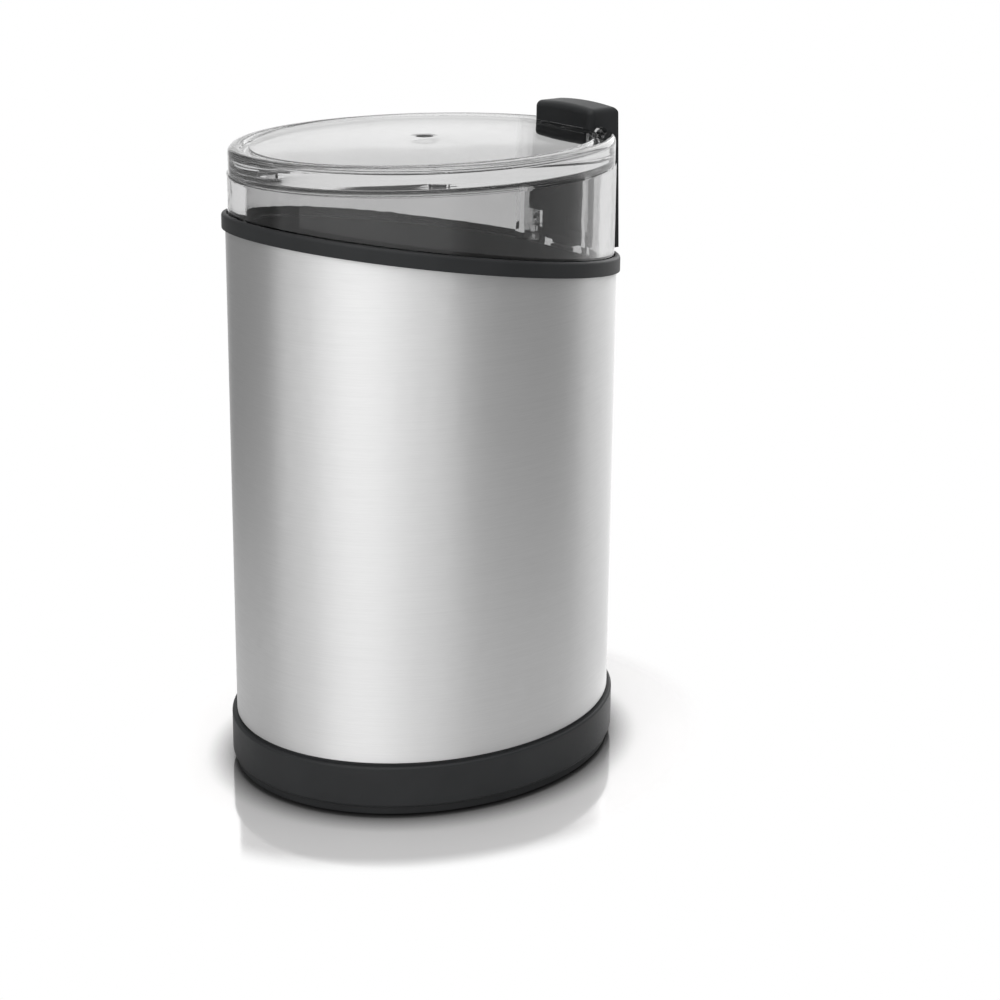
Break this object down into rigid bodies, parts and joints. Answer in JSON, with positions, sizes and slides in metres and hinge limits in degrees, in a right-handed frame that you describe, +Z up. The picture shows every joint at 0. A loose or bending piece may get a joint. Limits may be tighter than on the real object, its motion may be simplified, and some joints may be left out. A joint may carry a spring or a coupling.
{
  "type": "electric coffee grinder",
  "caption": "Oval electric blade coffee grinder with a brushed steel body, a slanted black rim, a black base and a clear lift-off lid with a push button at its end.",
  "frame": {"origin": "on the standing surface, midway between the ends and the sides of the oval body", "axes": "+X along the long way of the oval to the end with the button, +Y to the side with the cord gland, +Z up"},
  "size_m": [0.1081, 0.089, 0.1669],
  "materials": {
    "sleeve_steel": "brushed",
    "bowl_steel": "satin",
    "blade_steel": "ground",
    "screw_steel": "plated",
    "shaft_steel": "ground",
    "spring_steel": "bright",
    "core_steel": "laminated",
    "black_plastic": "satin",
    "chassis_plastic": "matt",
    "motor_plastic": "matt",
    "switch_plastic": "matt",
    "lid_plastic": "clear",
    "black_rubber": "matt",
    "grey_silicone": "matt",
    "copper": "enamelled",
    "bronze": "sintered",
    "contact_brass": "bright",
    "carbon": "matt",
    "lead_cover": "matt"
  },
  "bodies": {
    "housing": {"outer_sleeve": "sleeve_steel", "rim_collar": "black_plastic", "chassis": "chassis_plastic", "base_ring": "black_plastic", "bottom_cover": "black_plastic", "rubber_feet": "black_rubber", "cover_screws": "screw_steel", "cord_gland": "black_rubber", "terminal_block": "motor_plastic", "grinding_bowl": "bowl_steel", "bowl_gasket": "grey_silicone", "shaft_seal": "black_rubber", "pushrod_spring": "spring_steel", "switch_body": "switch_plastic", "lever_pin": "shaft_steel", "switch_terminals": "contact_brass", "switch_screws": "screw_steel", "upper_bracket": "motor_plastic", "lower_bracket": "motor_plastic", "upper_bearing": "bronze", "lower_bearing": "bronze", "motor_bolts": "screw_steel", "motor_dampers": "black_rubber", "deck_screws": "screw_steel", "stator_core": "core_steel", "field_coils": "copper", "brush_holders": "contact_brass", "carbon_brushes": "carbon", "brush_springs": "spring_steel", "brush_caps": "switch_plastic", "lead_wires": "lead_cover"},
    "lid": {"lid_shell": "lid_plastic", "button_spring": "spring_steel"},
    "button": {"start_button": "black_plastic"},
    "pushrod": {"switch_pushrod": "switch_plastic"},
    "lever": {"switch_lever": "spring_steel"},
    "plunger": {"switch_plunger": "motor_plastic"},
    "rotor": {"drive_shaft": "shaft_steel", "thrust_washer": "bronze", "armature_core": "core_steel", "armature_winding": "copper", "commutator": "copper", "blade": "blade_steel", "blade_nut": "blade_steel"}
  },
  "joints": [
    {"name": "lid_lift", "type": "slide", "parent": "housing", "child": "lid", "axis": [0, 0, 1], "range_m": [0, 0.07]},
    {"name": "button_press", "type": "slide", "parent": "lid", "child": "button", "axis": [0, 0, -1], "range_m": [0, 0.0035], "stiffness_N_per_m": 1200, "springref_m": -0.003, "deforming": ["button_spring"]},
    {"name": "pushrod_slide", "type": "slide", "parent": "housing", "child": "pushrod", "axis": [0, 0, -1], "range_m": [0, 0.0036], "deforming": ["pushrod_spring"]},
    {"name": "lever_swing", "type": "hinge", "parent": "housing", "child": "lever", "pos_m": [0.04386, -0.009, 0.06605], "axis": [-1, 0, 0], "range_deg": [0, 14.5]},
    {"name": "plunger_slide", "type": "slide", "parent": "housing", "child": "plunger", "axis": [0, 0, -1], "range_m": [0, 0.0013]},
    {"name": "rotor_spin", "type": "hinge", "parent": "housing", "child": "rotor", "pos_m": [0, 0, 0.05], "axis": [0, 0, 1], "continuous": true}
  ],
  "couplings": [
    {"joint": "pushrod_slide", "follows": "button_press", "ratio": 1},
    {"joint": "lever_swing", "follows": "button_press", "rad_per_m": 71.429},
    {"joint": "plunger_slide", "follows": "button_press", "ratio": 0.35714}
  ]
}
